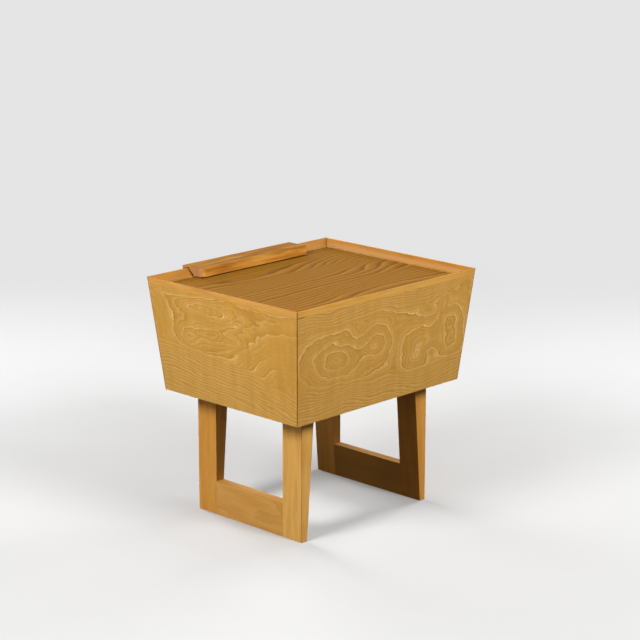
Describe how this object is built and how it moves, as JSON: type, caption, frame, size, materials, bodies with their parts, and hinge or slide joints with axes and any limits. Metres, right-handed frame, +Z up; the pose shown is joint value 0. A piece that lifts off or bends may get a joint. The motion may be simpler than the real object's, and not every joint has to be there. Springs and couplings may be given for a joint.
{
  "type": "nightstand",
  "caption": "Bedside table with a flared mitred case, a sunk tray top, a drawer with a pull along its rim, and tapered leg frames.",
  "frame": {"origin": "on the floor, below the middle of the whole outline, the pull's lip included", "axes": "+Z up; the drawer front faces -Y and the drawer opens towards -Y; +X is on the right seen from the front"},
  "size_m": [0.5588, 0.4722, 0.5389],
  "materials": {
    "panel_veneer": "golden veneer with bold swirling figure, satin lacquer",
    "rim_solid": "straight-grained solid strip, satin lacquer",
    "tray_veneer": "darker cathedral-grained veneer, satin lacquer",
    "leg_solid": "straight-grained solid wood, satin lacquer",
    "pull_solid": "shaped solid wood, satin lacquer",
    "drawer_wood": "pale wood, thin clear coat",
    "carcass_wood": "plain sawn and planed wood",
    "dowel_wood": "turned hardwood",
    "screw_steel": "zinc-plated steel"
  },
  "bodies": {
    "case": {"side_panel_left": "panel_veneer", "side_panel_right": "panel_veneer", "back_panel": "panel_veneer", "bottom_panel": "carcass_wood", "tray_panel": "tray_veneer", "rim_left": "rim_solid", "rim_right": "rim_solid", "rim_back": "rim_solid", "corner_splines": "dowel_wood", "glue_blocks": "carcass_wood", "front_rail": "carcass_wood", "back_cleat": "carcass_wood", "kicker_left": "carcass_wood", "kicker_right": "carcass_wood", "runner_left": "carcass_wood", "runner_right": "carcass_wood", "stop_blocks": "carcass_wood", "catch_block": "carcass_wood", "catch_screws": "screw_steel", "post_front_left": "leg_solid", "post_back_left": "leg_solid", "post_front_right": "leg_solid", "post_back_right": "leg_solid", "foot_rail_left": "leg_solid", "foot_rail_right": "leg_solid", "frame_cleat_left": "leg_solid", "frame_cleat_right": "leg_solid", "foot_dowels": "dowel_wood", "cleat_dowels": "dowel_wood", "frame_screws": "screw_steel"},
    "drawer": {"drawer_front": "panel_veneer", "rim_front": "rim_solid", "drawer_side_left": "drawer_wood", "drawer_side_right": "drawer_wood", "drawer_back": "drawer_wood", "drawer_floor": "drawer_wood", "floor_screws": "screw_steel", "pull": "pull_solid", "pull_dowels": "dowel_wood"}
  },
  "joints": [
    {"name": "drawer_slide", "type": "slide", "parent": "case", "child": "drawer", "axis": [0, -1, 0], "range_m": [0, 0.26]}
  ]
}
